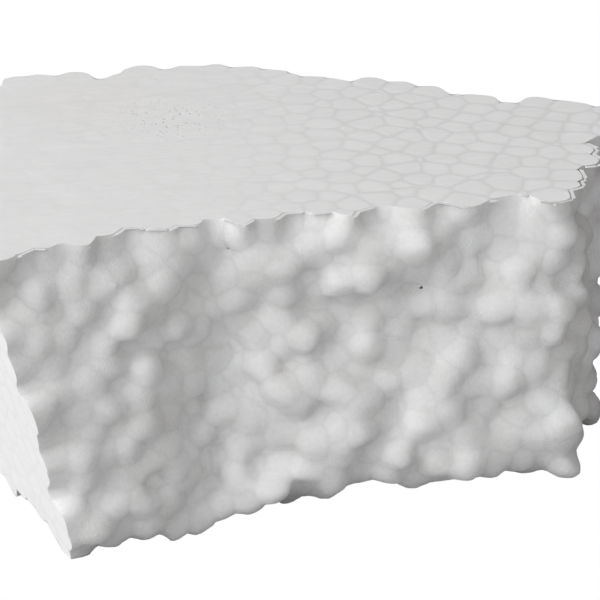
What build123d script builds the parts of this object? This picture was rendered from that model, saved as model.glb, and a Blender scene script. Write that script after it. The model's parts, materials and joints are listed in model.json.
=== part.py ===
from build123d import *

# A chunk broken out of a moulded board of expanded polystyrene (EPS) bead foam.
#
# The board was made by steam-fusing round beads in a mould, so every bead is pressed into a
# many-sided cell with one flat contact facet per neighbour, and the beads against the mould wall
# are flattened into a smooth skin. The board broke between its beads, never through them. The
# chunk keeps the flat top skin and the drafted left skin, and is rough on every other side.
#
# Frame, in mm: the board's top skin faces +Z at z = BOARD_THICKNESS, and the broken front runs
# roughly along X. The plan below is drawn from the front end of the moulded edge between the two
# skins, and the finished chunk is moved so that its origin is the centre of its box, at the base.

import os

import numpy as np
from scipy.spatial import Voronoi, cKDTree

# Driving dimensions.
BOARD_THICKNESS = 50.0
SIDE_DRAFT = 15.0  # degrees that the left skin leans out from the base to the top
SIDE_SKEW = 7.0  # degrees that the left skin turns away from the Y axis
BEAD_VOLUME = 66.0  # one fused bead, about 5 mm across
BEAD_SIZE_SPREAD = 0.10  # standard deviation of the bead radius, as a share of it
HAIRLINE = 0.02  # the boundary left between two fused beads, so that they stay two solids
RANDOM_SEED = 37

# The chunk's plan at the top skin, anticlockwise from the front end of the moulded edge. Both
# ends run on past the left skin, which closes the plan.
FRONT_LEFT = (-25.0, -2.0)
FRONT_HOLLOW = (32.0, 4.6)
FRONT_RIGHT = (84.5, -6.2)
RIGHT_BACK = (108.5, 27.0)
BACK_HOLLOW = (83.0, 49.5)
APEX = (64.5, 66.0)
BACK_LEFT = (23.0, 74.0)
LEFT_BACK = (-25.0, 57.0)
# Each side's name, its first corner, and how far it is cut back between the skin and the base.
SIDES = [
    ("front", FRONT_LEFT, 0.5),
    ("front", FRONT_HOLLOW, 3.0),
    ("right", FRONT_RIGHT, 0.0),
    ("back_right", RIGHT_BACK, 3.0),
    ("back_right", BACK_HOLLOW, 2.0),
    ("back_left", APEX, -2.0),
    ("back_left", BACK_LEFT, 1.0),
    ("back_left", LEFT_BACK, 0.0),
]

# The broken underside is this high, apart from the feet: a few low beads that the chunk stands
# on. It climbs a little more towards the right end of the front edge.
UNDERSIDE_HEIGHT = 2.2
FRONT_LIP_RISE = 2.0
FRONT_LIP_DEPTH = 22.0  # how far back from the front edge the lip fades out
FRONT_LIP_START, FRONT_LIP_FULL = 36.0, 54.0  # where the lip begins and is highest, along X
FEET = [(14.5, 3.5), (23.0, 4.5), (32.0, 6.5), (13.0, 57.0), (60.0, 59.0), (93.0, 22.0)]
FOOT_DEPTH = 4.0
FOOT_RADIUS = 6.0
FOOT_REACH = 5.0  # no bead further than this from a foot comes down to the base
# One bead still hangs on below the front right corner.
HANGING_BEAD = (88.0, -1.1, 5.8)

# Roughness of the broken sides.
WAVE_HEIGHT = 0.8
WAVE_LENGTH = 34.0
BEAD_SCATTER = 0.8
SKIN_CALM = 0.3  # the crack runs this much straighter where it crosses the skin
FACE_INSET = 0.3  # the last bead centres lie this far inside the mean broken face
LEAST_BOND = 0.30  # share of a bead's surface that must be fused for it to stay on
LEAST_EXPOSED = 1.6  # mm2 of free facets that make a bead a surface bead
# Slivers of skin that a lost bead left on the front and right rim of the top.
FLAKE_THICKNESS = 0.3
FLAKE_REACH = 0.25  # of the way to the middle of the lost bead's skin facet
FLAKE_SHARE = 0.6  # of the rim's torn facets that keep a flake
FLAKE_FIT = 0.97  # drawn in so that no two flakes touch

BEAD_RADIUS = (3 * BEAD_VOLUME / (4 * np.pi)) ** (1 / 3)
TOUCH = 1.74 * BEAD_RADIUS  # centre distance of two beads that press on each other
# Least and most distance of a bead's centre from the mould wall that squashes it.
STAND_OFF = (0.30 * TOUCH, 0.58 * TOUCH)
MARGIN = 3.2 * BEAD_RADIUS  # depth of lost beads kept around the chunk while it is worked out
LEFT_REACH = -14.0  # no bead lies further to the left
PACKING_STEPS = 90

rng = np.random.default_rng(RANDOM_SEED)
draft, skew = np.radians(SIDE_DRAFT), np.radians(SIDE_SKEW)
plan = np.array([corner for _, corner, _ in SIDES])

# Mould walls: unit normals pointing out of the foam, with their distances from the origin.
TOP_NORMAL = np.array([0.0, 0.0, 1.0])
LEFT_NORMAL = -np.array(
    [np.cos(draft) * np.cos(skew), np.cos(draft) * np.sin(skew), np.sin(draft)]
)
WALLS = [(TOP_NORMAL, BOARD_THICKNESS), (LEFT_NORMAL, LEFT_NORMAL[2] * BOARD_THICKNESS)]


def packed_centres():
    """Centres of beads poured at random and pressed against each other and the mould."""
    low = np.array([LEFT_REACH, plan[:, 1].min() - MARGIN, -MARGIN])
    high = np.array([plan[:, 0].max() + MARGIN, plan[:, 1].max() + MARGIN, BOARD_THICKNESS])
    count = int(np.prod(high - low) / BEAD_VOLUME)
    centres = rng.uniform(low, high, (count, 3))
    centres = centres[centres @ LEFT_NORMAL < WALLS[1][1]]
    sizes = 1 + BEAD_SIZE_SPREAD * rng.standard_normal(len(centres)).clip(-2, 2)
    stand_off = rng.uniform(*STAND_OFF, len(centres))
    for _ in range(PACKING_STEPS):
        pairs = cKDTree(centres).query_pairs(1.25 * TOUCH, output_type="ndarray")
        first, second = pairs.T
        apart = centres[second] - centres[first]
        distance = np.linalg.norm(apart, axis=1)
        overlap = (TOUCH * (sizes[first] + sizes[second]) / 2 - distance).clip(0)
        push = apart * (0.42 * overlap / distance)[:, None]
        np.add.at(centres, first, -push)
        np.add.at(centres, second, push)
        for normal, offset in WALLS:
            too_near = (centres @ normal - offset + stand_off).clip(0)
            centres -= too_near[:, None] * normal
        centres = centres.clip(low - BEAD_RADIUS, high + BEAD_RADIUS)
    return centres


def outside_plan(points):
    """The nearest side's name, and the distance outside it, for each point."""
    nearest = np.full(len(points), np.inf)
    side = np.zeros(len(points), int)
    inside = np.zeros(len(points), bool)
    for number, (start, end) in enumerate(zip(plan, np.roll(plan, -1, axis=0))):
        along = end - start
        share = ((points[:, :2] - start) @ along / (along @ along)).clip(0, 1)
        distance = np.linalg.norm(points[:, :2] - start - share[:, None] * along, axis=1)
        side[distance < nearest] = number
        nearest = np.minimum(nearest, distance)
        spans = (start[1] > points[:, 1]) != (end[1] > points[:, 1])
        crossing = start[0] + along[0] * (points[:, 1] - start[1]) / along[1]
        inside ^= spans & (points[:, 0] < crossing)
    names = np.array([name for name, _, _ in SIDES])[side]
    cut_back = np.array([cut for _, _, cut in SIDES])[side]
    outside = np.where(inside, -nearest, nearest)
    return names, outside + cut_back * (1 - points[:, 2] / BOARD_THICKNESS)


def foot_distance(points):
    """How far each point's place in the plan is from the nearest foot."""
    return cKDTree(FEET).query(points[:, :2])[0]


def underside_height(points):
    """Height of the broken underside, which dips just below the base plane at each foot."""
    to_front = 1 - ((points[:, 1] - FEET[0][1]) / FRONT_LIP_DEPTH).clip(0, 1)
    to_right = (points[:, 0] - FRONT_LIP_START) / (FRONT_LIP_FULL - FRONT_LIP_START)
    dip = FOOT_DEPTH * np.exp(-((foot_distance(points) / FOOT_RADIUS) ** 2))
    return UNDERSIDE_HEIGHT + FRONT_LIP_RISE * to_front * to_right.clip(0, 1) - dip


def waviness(points):
    """Slow swells of the broken faces, as the crack wandered through the board."""
    height = np.zeros(len(points))
    for octave in (1.0, 0.55):
        for _ in range(3):
            direction = rng.standard_normal(3)
            direction /= np.linalg.norm(direction)
            phase = rng.uniform(0, 2 * np.pi)
            turn = 2 * np.pi * points @ direction / (octave * WAVE_LENGTH)
            height += octave * WAVE_HEIGHT / 1.7 * np.sin(turn + phase)
    return height


def broken_free(centres):
    """Which beads the crack left on the chunk, and the broken side nearest to each."""
    names, outside = outside_plan(centres)
    below = underside_height(centres) - centres[:, 2]
    names = np.where(below > outside, "underside", names)
    outside = np.maximum(outside, below)
    deep = ((BOARD_THICKNESS - centres[:, 2]) / (3 * BEAD_RADIUS)).clip(0, 1)
    roughness = waviness(centres) + BEAD_SCATTER * rng.uniform(-1, 1, len(centres))
    outside += (SKIN_CALM + (1 - SKIN_CALM) * deep) * roughness
    return outside < -FACE_INSET, names


def mirrored(centres):
    """The centres near each mould wall, reflected in it: they flatten the beads against it."""
    copies = []
    for normal, offset in WALLS:
        depth = offset - centres @ normal
        near = depth < 2 * TOUCH
        copies.append(centres[near] + 2 * depth[near, None] * normal)
    return copies


def area_of(corners):
    """Area of a flat facet whose corners are in order."""
    spokes = corners[1:] - corners[0]
    return np.linalg.norm(np.cross(spokes[:-1], spokes[1:]).sum(axis=0)) / 2


def free_and_whole_area():
    """Each bead's facet area that no kept bead shares, and the area of all its facets."""
    free, whole = np.zeros(bead_count), np.zeros(bead_count)
    for (first, second), _, area in facets:
        for bead, other in ((first, second), (second, first)):
            if bead < bead_count:
                whole[bead] += area
                free[bead] += 0 if other < bead_count and kept[other] else area
    return free, whole


# Every bead of the board near the chunk, as the cell that it was pressed into.
centres = packed_centres()
bead_count = len(centres)
kept, broken_side = broken_free(centres)
copies = mirrored(centres)
wall_starts = np.cumsum([bead_count] + [len(copy) for copy in copies])
cells = Voronoi(np.vstack([centres, *copies]))
regions = [cells.regions[cell] for cell in cells.point_region[:bead_count]]
lowest = np.array([cells.vertices[region, 2].min() for region in regions])
kept &= (lowest > 0) | (foot_distance(centres) < FOOT_REACH)

# Each contact facet: the two cells that it divides, its corners in order, and its area.
facets = [
    (pair, corners, area_of(cells.vertices[corners]))
    for pair, corners in zip(cells.ridge_points, cells.ridge_vertices)
    if -1 not in corners and pair.min() < bead_count
]

# A bead held by too little of its surface came off with the rest.
for _ in range(3):
    free, whole = free_and_whole_area()
    kept &= free < (1 - LEAST_BOND) * whole
hanging = cKDTree(centres).query(HANGING_BEAD)[1]
kept[hanging] = True

# Each bead's facet area on each mould wall, and on the cracks.
on_wall = np.zeros((len(WALLS), bead_count))
for pair, _, area in facets:
    if pair.max() >= bead_count:
        wall = np.searchsorted(wall_starts, pair.max(), side="right") - 1
        on_wall[wall, pair.min()] += area
on_top, on_left = on_wall > LEAST_EXPOSED
on_crack = free_and_whole_area()[0] - on_wall.sum(axis=0) > LEAST_EXPOSED

node = np.where(on_crack, np.char.add(broken_side, "_fracture_beads"), "fused_bead_core")
node = node.astype("<U30")
node[on_left] = "left_skin_beads"
node[on_top] = "top_skin_beads"
node[on_top & on_crack] = "broken_rim_beads"
node[on_top & on_left] = "skin_edge_beads"
node[lowest < 0] = "resting_beads"
node[hanging] = "hanging_bead"
node[~kept] = "lost"


def bead_solid(bead):
    """One bead, drawn in by half a hairline towards its centre, or its middle on the wall."""
    middle = centres[bead]
    for (normal, offset), area in zip(WALLS, on_wall[:, bead]):
        if area > 0:
            middle = middle + (offset - middle @ normal) * normal
    shrink = 1 - HAIRLINE / 2 / BEAD_RADIUS
    corners = middle + shrink * (cells.vertices[regions[bead]] - middle)
    return ConvexPolyhedron([tuple(corner) for corner in corners], mode=Mode.PRIVATE)


def flake_solid(facet, skin_middle):
    """A sliver of a lost bead's skin, tapering out from the facet that it shares with the rim."""
    corners = []
    for last, corner, following in zip(np.roll(facet, 1, 0), facet, np.roll(facet, -1, 0)):
        if on_top_skin(corner):
            below = min(last, following, key=lambda point: point[2])
            down = (corner - below) / (corner[2] - below[2])
            root = corner - FLAKE_THICKNESS * down
            tip = corner + FLAKE_REACH * (skin_middle - corner)
            corners += [corner, root, tip]
    middle = np.mean(corners, axis=0)
    corners = [tuple(middle + FLAKE_FIT * (corner - middle)) for corner in corners]
    return ConvexPolyhedron(corners, mode=Mode.PRIVATE)


def on_top_skin(points):
    """Whether each point lies on the mould wall that made the top skin."""
    return np.isclose(np.asarray(points)[..., 2], BOARD_THICKNESS)


def torn_facets():
    """Each facet at the top between a front or right rim bead and a lost one, and the middle of
    the lost bead's skin."""
    for pair, corners, _ in facets:
        if pair.max() >= bead_count or kept[pair].sum() != 1:
            continue
        rim, lost_bead = sorted(pair, key=lambda bead: not kept[bead])
        facet = cells.vertices[corners]
        skin = cells.vertices[regions[lost_bead]]
        skin = skin[on_top_skin(skin)]
        wide_enough = on_top_skin(facet).sum() == 2 and on_top[lost_bead]
        if wide_enough and broken_side[rim] in ("front", "right"):
            yield facet, skin.mean(axis=0)


def export_node(part, name):
    """Moves a node to the chunk's own origin and writes it."""
    placed = to_origin * part
    placed.label = name
    export_step(placed, f"parts/{name}.step", write_pcurves=False)
    print(name, len(placed.solids()), "solids")


chunk_corners = cells.vertices[np.concatenate([regions[bead] for bead in np.flatnonzero(kept)])]
middle_x, middle_y, _ = (chunk_corners.min(axis=0) + chunk_corners.max(axis=0)) / 2
to_origin = Location((-middle_x, -middle_y, 0))
os.makedirs("parts", exist_ok=True)

# The surface beads, each a solid of its own, in one node for each side of the chunk.
for name in np.unique(node[kept & (node != "fused_bead_core")]):
    with BuildPart() as beads:
        add([bead_solid(bead) for bead in np.flatnonzero(node == name)])
        if name == "resting_beads":
            split(bisect_by=Plane.XY)
    export_node(beads.part, name)

# The inner beads, fused into one solid whose surface is the sockets of the surface beads.
with BuildPart() as core:
    sockets = []
    for pair, corners, _ in facets:
        in_core = [bead < bead_count and node[bead] == "fused_bead_core" for bead in pair]
        if in_core[0] != in_core[1]:
            points = [tuple(point) for point in cells.vertices[corners]]
            sockets.append(Face(Wire.make_polygon(points)))
    add(Solid(Shell(sockets)))
export_node(core.part, "fused_bead_core")

# The slivers of skin along the broken rim.
with BuildPart() as flakes:
    torn = [found for found in torn_facets() if rng.random() < FLAKE_SHARE]
    add([flake_solid(facet, skin_middle) for facet, skin_middle in torn])
export_node(flakes.part, "torn_skin_flakes")
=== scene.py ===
# A chunk broken out of a moulded board of expanded polystyrene bead foam. The CAD model holds one
# flat-sided solid per bead. Here the same beads are drawn as soft, rounded foam: the bared facets
# swell or hollow a little and blend into each other, a seam runs between every two beads, and the
# moulded skins stay flat, with thin seams between their cells. Distances are in mm until a mesh
# is made, which is in metres.

import json
import math

import bpy
import numpy as np
from mathutils import Euler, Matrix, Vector, kdtree

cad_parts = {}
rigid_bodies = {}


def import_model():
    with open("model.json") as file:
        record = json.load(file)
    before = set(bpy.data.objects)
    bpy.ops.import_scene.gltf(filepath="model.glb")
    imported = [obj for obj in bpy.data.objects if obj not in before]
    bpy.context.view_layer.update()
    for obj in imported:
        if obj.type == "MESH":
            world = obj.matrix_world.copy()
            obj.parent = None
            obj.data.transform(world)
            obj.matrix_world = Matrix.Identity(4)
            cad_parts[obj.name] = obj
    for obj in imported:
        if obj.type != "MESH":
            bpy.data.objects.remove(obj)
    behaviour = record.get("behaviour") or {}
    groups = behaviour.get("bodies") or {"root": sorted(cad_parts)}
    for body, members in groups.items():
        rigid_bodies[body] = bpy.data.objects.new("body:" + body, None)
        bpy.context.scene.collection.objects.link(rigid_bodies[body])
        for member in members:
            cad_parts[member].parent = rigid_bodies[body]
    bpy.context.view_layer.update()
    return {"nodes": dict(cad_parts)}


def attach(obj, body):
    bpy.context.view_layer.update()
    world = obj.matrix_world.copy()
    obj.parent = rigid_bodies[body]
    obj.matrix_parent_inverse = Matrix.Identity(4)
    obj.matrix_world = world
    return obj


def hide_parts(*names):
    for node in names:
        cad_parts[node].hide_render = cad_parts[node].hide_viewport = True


MM = 0.001
rng = np.random.default_rng(7)

for default_object in list(bpy.data.objects):
    bpy.data.objects.remove(default_object)
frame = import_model()

DRAFT, SKEW = math.radians(15), math.radians(7)
TOP_NORMAL = np.array([0.0, 0.0, 1.0])
LEFT_NORMAL = -np.array([
    math.cos(DRAFT) * math.cos(SKEW), math.cos(DRAFT) * math.sin(SKEW), math.sin(DRAFT),
])
TOP_CORNER = np.array([-51.442, -35.763, 50.0])  # the front end of the edge between the skins

WELD = 0.04  # two beads' corners nearer than this are one corner of the fused foam
FLAT = 0.9999  # cosine between triangles of one flat facet
NEAR_MISS, OPPOSED = 0.12, -0.98  # two facets this near and this opposed are one, in spite of the weld
ON_PLANE = 0.9995  # cosine between a facet and the wall that it lies on
PLANE_GAP, LEFT_GAP = 0.01, 0.1  # how far from its wall a facet may lie
SAME_BEAD = 0.9  # mirrored bead middles nearer than this are one lost bead

# Spacing of the mesh along facet edges, and its rings' distances in from them. The sides that are
# seldom seen have a coarser mesh.
COARSE_NODES = {
    "back_left_fracture_beads", "back_right_fracture_beads", "underside_fracture_beads", "fused_bead_core",
}
BROKEN_STEP = 0.34
SKIN_STEP = 0.34
COARSE_STEP = 0.5
BROKEN_RINGS = (0.12, 0.3, 0.6, 1.0, 1.5)
SKIN_RINGS = (0.06, 0.12, 0.2, 0.32, 0.55, 1.2)
RING_REACH = 0.8  # rings stop at this share of the way to a facet's middle
FAR = 9.0  # stands for any distance from the seams that is too long to matter

SMOOTHING_STEPS = 24
FLATTENING, FLATTENING_STEPS = 0.38, 90  # share of the relief taken away, and the blur that it goes towards
KEPT_PROUD = {"hanging_bead", "resting_beads"}
SWELL = 0.22  # how far a bared facet's middle stands out or in, times the difference in hardness
OUTWARD_BIAS = 0.15  # more facets swell than hollow
FULL_SWELL_RADIUS, SWELL_LIMIT = 1.2, 1.3  # smaller facets swell less, and larger ones a little more
BROKEN_SEAM = (0.08, 0.26)  # depth and half width of the seam between two bared beads
SKIN_SEAM = (0.02, 0.14)
# The top's seams are faint at its left and show more towards its front right end.
CRISP_TOWARDS = np.array([0.94, -0.34, 0.0])
FAINT, FAINT_UNTIL, CRISP_FROM = 0.12, -8.4, 19.6
LEFT_CRISPNESS = 0.45
PILLOW = (0.015, 0.5)  # each skin cell falls away this much, over this width, towards its seams
CELL_TILT, TILT_FADE = 0.006, 0.4  # slope of a skin cell, which fades out this near to its seams
GLOW, GLOW_STEPS = 0.85, 140  # share of the shading that comes from blurred normals, and their blur
ALBEDO = 0.85
FLOOR_ALBEDO = 0.40
SKY = 0.39
SHADE = (0.2, 0.17, 0.14, 1)  # the sky's colour at the right, as a share of the rest
SHADE_RAMP = (0.25, 0.75)  # the share of +X in the direction where the shade starts and is full
PIT_CLUSTER, PIT_REACH = (-9.2, 11.5, 50.0), 13
TINT_PATCH, TINT_REACH = (-17.8, 22.4, 50.0), 14
CLOSING_DEPTH = 1.2  # how far the faces between two pieces bend in, to stay under the surface
PIECE_LIMIT = 190_000  # triangles in one piece


# ---------------------------------------------------------------- reading the beads

def linked_groups(count, links):
    """The least index that each item is linked to, directly or through others."""
    label = np.arange(count)
    while True:
        low = np.minimum(label[links[:, 0]], label[links[:, 1]])
        lower = label.copy()
        np.minimum.at(lower, links[:, 0], low)
        np.minimum.at(lower, links[:, 1], low)
        lower = lower[lower]
        if (lower == label).all():
            return label
        label = lower


def around_loop(loop):
    """The loop's edges, as pairs of corners."""
    return list(zip(loop, loop[1:] + loop[:1]))


def finder(spots):
    """A tree that finds the spots near a place."""
    tree = kdtree.KDTree(len(spots))
    for number, spot in enumerate(spots):
        tree.insert(spot, number)
    tree.balance()
    return tree


def crossed(chosen, spots):
    """The cross product of two sides of each chosen triangle."""
    a, b, c = (spots[chosen[..., k]] for k in range(3))
    return np.cross(b - a, c - a)


def triangles_of(node):
    """A CAD node's corners in mm, each once, and its triangles."""
    mesh = frame["nodes"][node].data
    mesh.calc_loop_triangles()
    points = np.empty(3 * len(mesh.vertices), np.float32)
    mesh.vertices.foreach_get("co", points)
    triangles = np.empty(3 * len(mesh.loop_triangles), np.int32)
    mesh.loop_triangles.foreach_get("vertices", triangles)
    points, where = np.unique(points.reshape(-1, 3), axis=0, return_inverse=True)
    return points.astype(float) / MM, where.reshape(-1)[triangles].reshape(-1, 3)


def welded(points):
    """The corner of the fused foam that each point is nearest to, and those corners."""
    tree = finder(points)
    links = [
        (number, other)
        for number, point in enumerate(points)
        for _, other, _ in tree.find_range(point, WELD)
        if other > number
    ]
    label = linked_groups(len(points), np.array(links))
    _, where = np.unique(label, return_inverse=True)
    total = np.bincount(where)
    corners = np.stack([np.bincount(where, points[:, axis]) / total for axis in range(3)], axis=1)
    return where, corners


def loop_around(triangles):
    """The closed outline of a patch of triangles, or None if nothing of it is left."""
    outline = set()
    for a, b, c in triangles:
        if len({a, b, c}) < 3:
            continue
        for start, end in ((a, b), (b, c), (c, a)):
            if (end, start) in outline:
                outline.remove((end, start))
            else:
                outline.add((start, end))
    onward = dict(outline)
    if len(onward) < 3 or len(onward) != len(outline):
        return None
    loop = [min(onward)]
    while onward.get(loop[-1], loop[0]) != loop[0] and len(loop) <= len(onward):
        loop.append(onward[loop[-1]])
    return loop if len(loop) == len(onward) else None


bead_nodes = [name for name in sorted(frame["nodes"]) if name != "torn_skin_flakes"]
all_points, all_triangles, triangle_node = [], [], []
offset = 0
for number, name in enumerate(bead_nodes):
    points, triangles = triangles_of(name)
    all_points.append(points)
    all_triangles.append(triangles + offset)
    triangle_node += [number] * len(triangles)
    offset += len(points)
points = np.vstack(all_points)
triangles = np.vstack(all_triangles)
triangle_node = np.array(triangle_node)

links = np.vstack([triangles[:, [0, 1]], triangles[:, [1, 2]]])
bead_of_point = linked_groups(len(points), links)
triangle_bead = bead_of_point[triangles[:, 0]]
normals = crossed(triangles, points)
normals /= np.maximum(np.linalg.norm(normals, axis=1), 1e-12)[:, None]

# Triangles that share an edge and a plane are one facet.
edges = np.sort(np.vstack([triangles[:, [0, 1]], triangles[:, [1, 2]], triangles[:, [2, 0]]]), axis=1)
owner = np.tile(np.arange(len(triangles)), 3)
order = np.lexsort((edges[:, 1], edges[:, 0]))
same = (edges[order[1:]] == edges[order[:-1]]).all(axis=1)
first, second = owner[order[:-1]][same], owner[order[1:]][same]
flat = (normals[first] * normals[second]).sum(axis=1) > FLAT
facet_of = linked_groups(len(triangles), np.stack([first, second], axis=1)[flat])

corner_of, corners = welded(points)
welded_triangles = corner_of[triangles]

members = {}
for number, facet in enumerate(facet_of):
    members.setdefault(facet, []).append(number)
facets = []
for numbers in members.values():
    loop = loop_around(welded_triangles[numbers])
    if loop is None:
        continue
    largest = max(numbers, key=lambda n: np.linalg.norm(crossed(triangles[n], points)))
    facets.append({
        "loop": loop,
        "node": triangle_node[numbers[0]],
        "bead": triangle_bead[numbers[0]],
        "normal": normals[largest],
    })

# A facet that two beads share is hidden; one that no other bead has is bared.
by_corners = {}
for facet in facets:
    by_corners.setdefault(frozenset(facet["loop"]), []).append(facet)
alone = [found[0] for found in by_corners.values() if len(found) == 1]
facet_middles = [corners[facet["loop"]].mean(axis=0) for facet in alone]
tree = finder(facet_middles)
unmatched = set()
for number, facet in enumerate(alone):
    near = tree.find_range(facet_middles[number], NEAR_MISS)
    if any(alone[other]["normal"] @ facet["normal"] < OPPOSED for _, other, _ in near):
        unmatched.add(number)
bared = [facet for number, facet in enumerate(alone) if number not in unmatched]
hidden = [facet for found in by_corners.values() if len(found) == 2 for facet in found]
partner = {}
for found in by_corners.values():
    if len(found) == 2:
        partner[id(found[0])], partner[id(found[1])] = found[1], found[0]
hidden += [alone[number] for number in unmatched]

# Where two beads' views of one corner lie too far apart to weld, a sliver of a hole is left, which
# is closed with a facet.
open_edges = {}
for facet in bared:
    for a, b in around_loop(facet["loop"]):
        if (b, a) in open_edges:
            del open_edges[b, a]
        else:
            open_edges[a, b] = facet
onward = {b: (a, facet) for (a, b), facet in sorted(open_edges.items(), key=lambda found: found[0])}
while onward:
    start = min(onward)
    loop = [start]
    after, beside = onward.pop(start)
    while after in onward:
        loop.append(after)
        after, beside = onward.pop(after)
    if after == start and len(loop) > 2:
        bared.append({**beside, "loop": loop})


# ---------------------------------------------------------------- the surface of the foam

def outside_seed(facet):
    """Where the middle of the bead on the other side of a bared facet was."""
    middle = bead_middle[facet["bead"]]
    on_facet = corners[facet["loop"]].mean(axis=0)
    return middle + 2 * ((on_facet - middle) @ facet["normal"]) * facet["normal"]


bead_middle = {}
for bead in np.unique(triangle_bead):
    bead_middle[bead] = points[np.unique(triangles[triangle_bead == bead])].mean(axis=0)

for facet in bared:
    middle = corners[facet["loop"]].mean(axis=0)
    off_left = abs((middle - TOP_CORNER) @ LEFT_NORMAL)
    on_top = facet["normal"] @ TOP_NORMAL > ON_PLANE and middle[2] > TOP_CORNER[2] - PLANE_GAP
    on_left = facet["normal"] @ LEFT_NORMAL > ON_PLANE and off_left < LEFT_GAP
    on_base = facet["normal"][2] < -ON_PLANE and middle[2] < PLANE_GAP
    facet["wall"] = "top" if on_top else "left" if on_left else "base" if on_base else ""

# The lost bead behind each bared facet. Its facets swell or hollow together, so that it leaves
# one round socket.
seeds = np.array([outside_seed(facet) for facet in bared])
tree = finder(seeds)
links = np.array([
    (number, other) for number, seed in enumerate(seeds) for _, other, _ in tree.find_range(seed, SAME_BEAD)
])
lost_bead = linked_groups(len(seeds), links)
hardness = rng.random(len(seeds))
bead_hardness = {bead: rng.random() for bead in bead_middle}
bead_shade = {bead: rng.random() for bead in bead_middle}

beads_on_edge = {}
for facet in bared:
    for a, b in around_loop(facet["loop"]):
        beads_on_edge.setdefault((min(a, b), max(a, b)), set()).add(facet["bead"])

positions = [tuple(corner) for corner in corners]
edge_points = {}


def edge_vertices(a, b, step):
    """The mesh's points from corner a to corner b, shared by every facet on that edge."""
    key = (min(a, b), max(a, b))
    if key not in edge_points:
        count = max(1, round(float(np.linalg.norm(corners[b] - corners[a])) / step))
        start, end = corners[key[0]], corners[key[1]]
        between = [start + (end - start) * n / count for n in range(1, count)]
        ids = range(len(positions), len(positions) + len(between))
        positions.extend(tuple(point) for point in between)
        edge_points[key] = [key[0], *ids, key[1]]
    found = edge_points[key]
    return found if a == key[0] else found[::-1]


def distance_to_edges(spots, loop, chosen):
    """Each spot's distance to the nearest of the loop's chosen edges."""
    nearest = np.full(len(spots), FAR)
    for (a, b), wanted in zip(around_loop(loop), chosen):
        if wanted:
            start, along = corners[a], corners[b] - corners[a]
            share = ((spots - start) @ along / max(along @ along, 1e-9)).clip(0, 1)
            nearest = np.minimum(nearest, np.linalg.norm(spots - start - share[:, None] * along, axis=1))
    return nearest


surface, surface_facet = [], []
vertex_data = []  # for each facet: its points, how far each swells out, its seam distance, the facet's number
for number, facet in enumerate(bared):
    loop = facet["loop"]
    skin = facet["wall"] in ("top", "left")
    coarse = bead_nodes[facet["node"]] in COARSE_NODES
    step = SKIN_STEP if skin else COARSE_STEP if coarse else BROKEN_STEP
    rings = SKIN_RINGS if skin else BROKEN_RINGS[1::2] if coarse else BROKEN_RINGS
    border = []
    for a, b in around_loop(loop):
        border += edge_vertices(a, b, step)[:-1]
    around = np.array([positions[n] for n in border])
    middle = around.mean(axis=0)
    every_edge = [True] * len(loop)
    inradius = distance_to_edges(middle[None], loop, every_edge)[0]
    ring_ids = [border]
    for depth in rings:
        if depth > RING_REACH * inradius:
            break
        share = 1 - np.minimum(depth / inradius, 1)
        ids = list(range(len(positions), len(positions) + len(border)))
        positions.extend(tuple(p) for p in middle + share * (around - middle))
        ring_ids.append(ids)
    centre = len(positions)
    positions.append(tuple(middle))
    count = len(border)
    for outer, inner in zip(ring_ids, ring_ids[1:]):
        for k in range(count):
            j = (k + 1) % count
            surface += [(outer[k], outer[j], inner[j]), (outer[k], inner[j], inner[k])]
    inner = ring_ids[-1]
    surface += [(inner[k], inner[(k + 1) % count], centre) for k in range(count)]
    surface_facet += [number] * (len(surface) - len(surface_facet))
    ids = np.array([n for ring in ring_ids for n in ring] + [centre])
    spots = np.array([positions[n] for n in ids])
    seams = [len(beads_on_edge[min(a, b), max(a, b)]) > 1 for a, b in around_loop(loop)]
    seam_distance = distance_to_edges(spots, loop, seams)
    inwards = (distance_to_edges(spots, loop, every_edge) / max(inradius, 1e-6)).clip(0, 1)
    swell = 0.0
    if not facet["wall"]:
        harder = bead_hardness[facet["bead"]] - hardness[lost_bead[number]] + OUTWARD_BIAS
        swell = SWELL * harder * min(inradius / FULL_SWELL_RADIUS, SWELL_LIMIT)
    vertex_data.append((ids, swell * (1 - (1 - inwards) ** 2), seam_distance, number))

place = np.array(positions)
surface = np.array(surface)
surface_facet = np.array(surface_facet)
seam_distance = np.full(len(place), FAR)
skin_touch, broken_touch = np.zeros(len(place), bool), np.zeros(len(place), bool)
for ids, swell, to_seam, number in vertex_data:
    facet = bared[number]
    place[ids] += swell[:, None] * facet["normal"]
    seam_distance[ids] = np.minimum(seam_distance[ids], to_seam)
    (skin_touch if facet["wall"] else broken_touch)[ids] = True


def neighbours(links):
    """Both ends of each link, the points across from them, and how many links each point has."""
    ends = np.concatenate([links[:, 0], links[:, 1]])
    others = np.concatenate([links[:, 1], links[:, 0]])
    return ends, others, np.maximum(np.bincount(ends, minlength=len(place)), 1)


def blur_step(values):
    """Halfway from each point's value to the mean of its neighbours' values."""
    mean = np.stack([np.bincount(ends, values[others, axis], len(place)) for axis in range(3)], axis=1)
    return 0.5 * (mean / degree[:, None] - values)


# Smoothing rounds the bared beads. The skins stay flat, and their broken rims fairly sharp.
links = np.sort(np.vstack([surface[:, [0, 1]], surface[:, [1, 2]], surface[:, [2, 0]]]), axis=1)
links = np.unique(links, axis=0)
ends, others, degree = neighbours(links)
on_wall = {wall: np.zeros(len(place), bool) for wall in ("top", "left", "base")}
for ids, _, _, number in vertex_data:
    if bared[number]["wall"]:
        on_wall[bared[number]["wall"]][ids] = True
for _ in range(SMOOTHING_STEPS):
    place += blur_step(place)
    place[on_wall["top"], 2] = TOP_CORNER[2]
    place[on_wall["base"], 2] = 0
    off_left = (place[on_wall["left"]] - TOP_CORNER) @ LEFT_NORMAL
    place[on_wall["left"]] -= off_left[:, None] * LEFT_NORMAL

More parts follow.
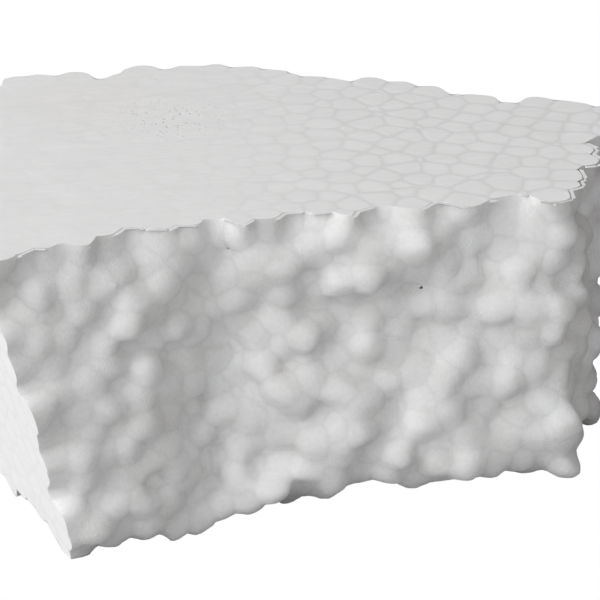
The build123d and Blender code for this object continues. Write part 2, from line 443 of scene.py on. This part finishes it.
# The broken sides' relief is drawn in a little towards their general shape.
flatter = place.copy()
free = ~(on_wall["top"] | on_wall["left"] | on_wall["base"])
for _ in range(FLATTENING_STEPS):
    flatter[free] += blur_step(flatter)[free]
for ids, _, _, number in vertex_data:
    if bead_nodes[bared[number]["node"]] in KEPT_PROUD:
        free[ids] = False
place[free] += FLATTENING * (flatter - place)[free]


def vertex_normals(chosen):
    """The normal at each point of the chosen triangles of the surface."""
    weight = crossed(chosen, place)
    total = np.stack([
        sum(np.bincount(chosen[:, k], weight[:, axis], len(place)) for k in range(3))
        for axis in range(3)
    ], axis=1)
    return total / np.maximum(np.linalg.norm(total, axis=1), 1e-12)[:, None]


outward = vertex_normals(surface)
pure_skin = skin_touch & ~broken_touch
crisp = ((place @ CRISP_TOWARDS - FAINT_UNTIL) / (CRISP_FROM - FAINT_UNTIL)).clip(0, 1)
off_top = np.where(on_wall["left"], LEFT_CRISPNESS, 1.0)
crisp = np.where(on_wall["top"], FAINT + (1 - FAINT) * crisp, off_top)
depth = np.where(pure_skin, SKIN_SEAM[0], BROKEN_SEAM[0])
width = np.where(pure_skin, SKIN_SEAM[1], BROKEN_SEAM[1])
seam = (skin_touch | broken_touch) * crisp * np.exp(-((seam_distance / width) ** 2))
sink = depth * seam + pure_skin * crisp * PILLOW[0] * np.exp(-seam_distance / PILLOW[1])
place -= sink[:, None] * outward
for ids, _, to_seam, number in vertex_data:
    facet = bared[number]
    if facet["wall"] in ("top", "left"):
        offset_from_middle = place[ids] - place[ids].mean(axis=0)
        tilt = CELL_TILT * rng.standard_normal(3)
        settle = ((to_seam / TILT_FADE).clip(0, 1)) ** 2
        place[ids] += (settle * (offset_from_middle @ tilt))[:, None] * facet["normal"]
place[:, 2] = place[:, 2].clip(0, None)

# Light spreads inside the foam and softens the broken sides' shading, as if they were smoother.
outward = vertex_normals(surface)
broken_facet = np.array([facet["wall"] not in ("top", "left") for facet in bared])
glow = vertex_normals(surface[broken_facet[surface_facet]])
ends, others, degree = neighbours(links[(broken_touch | ~skin_touch)[links].all(axis=1)])
glows = np.unique(ends)
for _ in range(GLOW_STEPS):
    glow[glows] += blur_step(glow)[glows]
outward[glows] = ((1 - GLOW) * outward + GLOW * glow)[glows]
outward /= np.maximum(np.linalg.norm(outward, axis=1), 1e-12)[:, None]

# ---------------------------------------------------------------- pieces

bead_triangles = {}
for facet in surface_facet:
    bead = bared[facet]["bead"]
    bead_triangles[bead] = bead_triangles.get(bead, 0) + 1
piece_of, piece_nodes = {}, []
for number, name in enumerate(bead_nodes):
    beads = sorted(np.unique(triangle_bead[triangle_node == number]), key=lambda b: tuple(bead_middle[b]))
    total = sum(bead_triangles.get(b, 0) for b in beads)
    parts = math.ceil(total / PIECE_LIMIT) if total else 1
    so_far = 0
    for bead in beads:
        share = min(int(parts * so_far / max(total, 1)), parts - 1)
        piece_of[bead] = len(piece_nodes) + share
        so_far += bead_triangles.get(bead, 0)
    piece_nodes += [(name, n) for n in range(parts)]


def closing_faces(number):
    """Faces that close a piece off from the beads behind it, and the points that only they have.

    They bend inwards, so that none of them shows through the smoothed surface.
    """
    faces, extra, middles = [], [], {}
    for facet in hidden:
        if piece_of[facet["bead"]] != number:
            continue
        other = partner.get(id(facet))
        if other is not None and piece_of[other["bead"]] == number:
            continue
        loop, border = facet["loop"], []
        for a, b in around_loop(loop):
            key = (min(a, b), max(a, b))
            if key in edge_points:
                border += (edge_points[key] if a == key[0] else edge_points[key][::-1])[:-1]
                continue
            border.append(a)
            if outward[a].any() and outward[b].any():
                if key not in middles:
                    middles[key] = len(place) + len(extra)
                    extra.append((place[a] + place[b]) / 2 - CLOSING_DEPTH * (outward[a] + outward[b]) / 2)
                border.append(middles[key])
        centre = len(place) + len(extra)
        whole = [n for n in border if n < len(place)]
        extra.append(place[whole].mean(axis=0) - CLOSING_DEPTH * outward[whole].mean(axis=0))
        faces += [(border[k], border[(k + 1) % len(border)], centre) for k in range(len(border))]
    return faces, extra


def build_piece(number, name, part):
    """One closed mesh: the surface of the piece's beads, and the faces that close it."""
    mine = np.array([piece_of[facet["bead"]] == number for facet in bared])[surface_facet]
    faces = [tuple(triangle) for triangle in surface[mine]]
    closing, extra = closing_faces(number)
    shades = [bead_shade[bared[f]["bead"]] for f in surface_facet[mine]] + [0.5] * len(closing)
    skins = [float(bared[f]["wall"] in ("top", "left")) for f in surface_facet[mine]] + [0.0] * len(closing)
    everything = np.vstack([place, extra]) if extra else place
    directions = np.vstack([outward, np.tile(TOP_NORMAL, (len(extra), 1))]) if extra else outward
    faces = np.array(faces + closing)
    used, where = np.unique(faces, return_inverse=True)
    mesh = bpy.data.meshes.new(f"{name}_{part}")
    mesh.vertices.add(len(used))
    mesh.vertices.foreach_set("co", (everything[used] * MM).astype(np.float32).ravel())
    mesh.loops.add(faces.size)
    mesh.loops.foreach_set("vertex_index", where.reshape(-1).astype(np.int32))
    mesh.polygons.add(len(faces))
    mesh.polygons.foreach_set("loop_start", np.arange(0, faces.size, 3, dtype=np.int32))
    mesh.polygons.foreach_set("loop_total", np.full(len(faces), 3, np.int32))
    mesh.update(calc_edges=True)
    mesh.validate()
    mesh.shade_smooth()
    for label, values in (("bead_shade", shades), ("skin", skins)):
        layer = mesh.attributes.new(label, "FLOAT", "FACE")
        layer.data.foreach_set("value", np.array(values, np.float32))
    layer = mesh.attributes.new("seam", "FLOAT", "POINT")
    layer.data.foreach_set("value", np.append(seam, np.zeros(len(extra)))[used].astype(np.float32))
    mesh.normals_split_custom_set_from_vertices(directions[used].astype(np.float32))
    piece = bpy.data.objects.new(f"foam_{name}_{part}", mesh)
    bpy.context.scene.collection.objects.link(piece)
    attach(piece, "root")
    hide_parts(name)
    piece.data.materials.append(foam)


# ---------------------------------------------------------------- material

def foam_material():
    """White expanded polystyrene: bead seams, a fine cell structure, a few pits and a smooth skin. Its colour
    holds painted shade along the seams and in the pits.
    """
    material = bpy.data.materials.new("expanded_polystyrene")
    material.use_nodes = True
    tree = material.node_tree
    nodes, link = tree.nodes, tree.links.new
    shader = nodes["Principled BSDF"]
    shader.inputs["Roughness"].default_value = 0.55
    shader.inputs["IOR"].default_value = 1.3
    where = nodes.new("ShaderNodeTexCoord").outputs["Object"]

    def attribute(name):
        """A value that build_piece stores on the mesh."""
        node = nodes.new("ShaderNodeAttribute")
        node.attribute_name = name
        return node.outputs["Fac"]

    def maths(operation, *values, clamp=False):
        """A math node's result for numbers or other nodes' results."""
        node = nodes.new("ShaderNodeMath")
        node.operation = operation
        node.use_clamp = clamp
        for socket, value in zip(node.inputs, values):
            if isinstance(value, (int, float)):
                socket.default_value = value
            else:
                link(value, socket)
        return node.outputs[0]

    def noise(scale, detail, stretch=(1, 1, 1)):
        """Soft noise, from 0 to 1."""
        mapping = nodes.new("ShaderNodeMapping")
        mapping.inputs["Scale"].default_value = stretch
        link(where, mapping.inputs["Vector"])
        node = nodes.new("ShaderNodeTexNoise")
        node.inputs["Scale"].default_value = scale
        node.inputs["Detail"].default_value = detail
        link(mapping.outputs["Vector"], node.inputs["Vector"])
        return node.outputs["Fac"]

    def spots(scale, radius):
        """1 in the middle of sparse round spots, 0 outside them."""
        node = nodes.new("ShaderNodeTexVoronoi")
        node.inputs["Scale"].default_value = scale
        link(where, node.inputs["Vector"])
        return maths("SUBTRACT", 1.0, maths("DIVIDE", node.outputs["Distance"], radius), clamp=True)

    def near(spot, reach):
        """1 at a spot in mm, 0 further from it than reach."""
        gap = nodes.new("ShaderNodeVectorMath")
        gap.operation = "DISTANCE"
        link(where, gap.inputs[0])
        gap.inputs[1].default_value = [MM * x for x in spot]
        return maths("SUBTRACT", 1.0, maths("DIVIDE", gap.outputs["Value"], reach * MM), clamp=True)

    skin = attribute("skin")
    broken = maths("SUBTRACT", 1.0, skin)
    # Painted shade: the colour darkens along the seams between beads, more on the skins, in place of the
    # shade in the seam grooves.
    seams = maths("MULTIPLY", attribute("seam"), maths("ADD", 0.05, maths("MULTIPLY", skin, 0.04)))
    in_cluster = maths("MULTIPLY", near(PIT_CLUSTER, PIT_REACH), 1.6)
    pits = maths("MULTIPLY", spots(900, 0.32), in_cluster, clamp=True)
    # Painted shade in the pits' hollows, added to the painted shade along the seams.
    painted_shade = maths("ADD", seams, maths("MULTIPLY", pits, 0.15))
    mottle = maths("MULTIPLY", maths("SUBTRACT", noise(1500, 2), 0.5), maths("MULTIPLY", broken, 0.10))
    shade_range = maths("ADD", 0.015, maths("MULTIPLY", broken, 0.05))
    each = maths("MULTIPLY", maths("SUBTRACT", attribute("bead_shade"), 0.5), shade_range)
    patches = maths("MULTIPLY", maths("SUBTRACT", noise(170, 1), 0.5), broken)
    mottle = maths("ADD", mottle, maths("MULTIPLY", patches, 0.14))
    white = maths("ADD", maths("SUBTRACT", maths("ADD", ALBEDO, each), painted_shade), mottle)
    colour = nodes.new("ShaderNodeCombineColor")
    warm = maths("MULTIPLY", near(TINT_PATCH, TINT_REACH), 0.02)
    tint = maths("SUBTRACT", warm, maths("MULTIPLY", patches, 0.04))
    link(white, colour.inputs["Red"])
    link(maths("SUBTRACT", white, maths("MULTIPLY", tint, 0.6)), colour.inputs["Green"])
    link(maths("SUBTRACT", white, tint), colour.inputs["Blue"])
    link(colour.outputs["Color"], shader.inputs["Base Color"])

    grain = nodes.new("ShaderNodeTexVoronoi")
    grain.inputs["Scale"].default_value = 2600
    link(where, grain.inputs["Vector"])
    height = maths("MULTIPLY", grain.outputs["Distance"], maths("MULTIPLY", broken, 0.5))
    streaks = noise(90, 4, stretch=(1, 3.5, 1))
    height = maths("ADD", height, maths("MULTIPLY", streaks, maths("MULTIPLY", skin, 4.0)))
    height = maths("SUBTRACT", height, maths("MULTIPLY", pits, 1.3))
    bump = nodes.new("ShaderNodeBump")
    bump.inputs["Strength"].default_value = 0.6
    bump.inputs["Distance"].default_value = 0.0001
    link(height, bump.inputs["Height"])
    link(bump.outputs["Normal"], shader.inputs["Normal"])
    return material


foam = foam_material()
for number, (name, part) in enumerate(piece_nodes):
    build_piece(number, name, part)
flakes = frame["nodes"]["torn_skin_flakes"]
flakes.data.materials.clear()
flakes.data.materials.append(foam)

# ---------------------------------------------------------------- floor, light and camera

# The floor is white to the camera, and reflects light as pale grey paper.
floor_mesh = bpy.data.meshes.new("floor")
floor_mesh.from_pydata([(-3, -3, 0), (3, -3, 0), (3, 3, 0), (-3, 3, 0)], [], [(0, 1, 2, 3)])
floor = bpy.data.objects.new("floor", floor_mesh)
bpy.context.scene.collection.objects.link(floor)
white = bpy.data.materials.new("white_floor")
white.use_nodes = True
nodes, link = white.node_tree.nodes, white.node_tree.links.new
nodes.clear()
paper, glow = nodes.new("ShaderNodeBsdfDiffuse"), nodes.new("ShaderNodeEmission")
paper.inputs["Color"].default_value = (FLOOR_ALBEDO, FLOOR_ALBEDO, FLOOR_ALBEDO, 1)
seen, mixed = nodes.new("ShaderNodeLightPath"), nodes.new("ShaderNodeMixShader")
link(seen.outputs["Is Camera Ray"], mixed.inputs["Fac"])
link(paper.outputs["BSDF"], mixed.inputs[1])
link(glow.outputs["Emission"], mixed.inputs[2])
link(mixed.outputs["Shader"], nodes.new("ShaderNodeOutputMaterial").inputs["Surface"])
floor_mesh.materials.append(white)

# The sky is white to the camera. As a light it is darker and warmer at the right.
world = bpy.data.worlds.new("studio")
bpy.context.scene.world = world
world.use_nodes = True
nodes, link = world.node_tree.nodes, world.node_tree.links.new
nodes["Background"].inputs["Strength"].default_value = SKY
ramp, split = nodes.new("ShaderNodeValToRGB"), nodes.new("ShaderNodeSeparateXYZ")
link(nodes.new("ShaderNodeTexCoord").outputs["Generated"], split.inputs["Vector"])
link(split.outputs["X"], ramp.inputs["Fac"])
seen, shown = nodes.new("ShaderNodeLightPath"), nodes.new("ShaderNodeMixRGB")
link(seen.outputs["Is Camera Ray"], shown.inputs["Fac"])
link(ramp.outputs["Color"], shown.inputs["Color1"])
shown.inputs["Color2"].default_value = (1 / SKY, 1 / SKY, 1 / SKY, 1)
link(shown.outputs["Color"], nodes["Background"].inputs["Color"])
for stop, position, colour in zip(ramp.color_ramp.elements, SHADE_RAMP, ((1, 1, 1, 1), SHADE)):
    stop.position, stop.color = position, colour


LIGHT_DISTANCE, LIGHT_SIZE = 1.0, 1.3  # in metres


def area_light(name, azimuth, elevation, power):
    """A soft square light that faces the chunk. Azimuth 0 is in front of it, and -90 to its left."""
    light = bpy.data.lights.new(name, "AREA")
    light.size = LIGHT_SIZE
    light.energy = power
    lamp = bpy.data.objects.new(name, light)
    a, e = math.radians(azimuth), math.radians(elevation)
    towards = Vector((math.sin(a) * math.cos(e), -math.cos(a) * math.cos(e), math.sin(e)))
    lamp.location = LIGHT_DISTANCE * towards
    lamp.rotation_euler = (-lamp.location).to_track_quat("-Z", "Y").to_euler()
    bpy.context.scene.collection.objects.link(lamp)


area_light("key", azimuth=-87, elevation=31, power=13.6)
area_light("fill", azimuth=2, elevation=10, power=2.8)

CAMERA_AZIMUTH, CAMERA_ELEVATION = -20, 23
CAMERA_DISTANCE = 454.6  # from the corner between the skins, along the line of sight
CORNER_RIGHT, CORNER_UP = -0.0954, 0.0105  # the corner's place in the view, as tangents
camera_data = bpy.data.cameras.new("camera")
camera_data.lens = 200
camera_data.sensor_width = 36
camera = bpy.data.objects.new("camera", camera_data)
camera.rotation_euler = Euler((math.radians(90 - CAMERA_ELEVATION), 0, math.radians(CAMERA_AZIMUTH)))
turn = camera.rotation_euler.to_matrix()
to_corner = turn @ Vector((CORNER_RIGHT, CORNER_UP, -1)) * CAMERA_DISTANCE
camera.location = (Vector(TOP_CORNER) - to_corner) * MM
bpy.context.scene.collection.objects.link(camera)
bpy.context.scene.camera = camera
bpy.context.scene.view_settings.view_transform = "Standard"
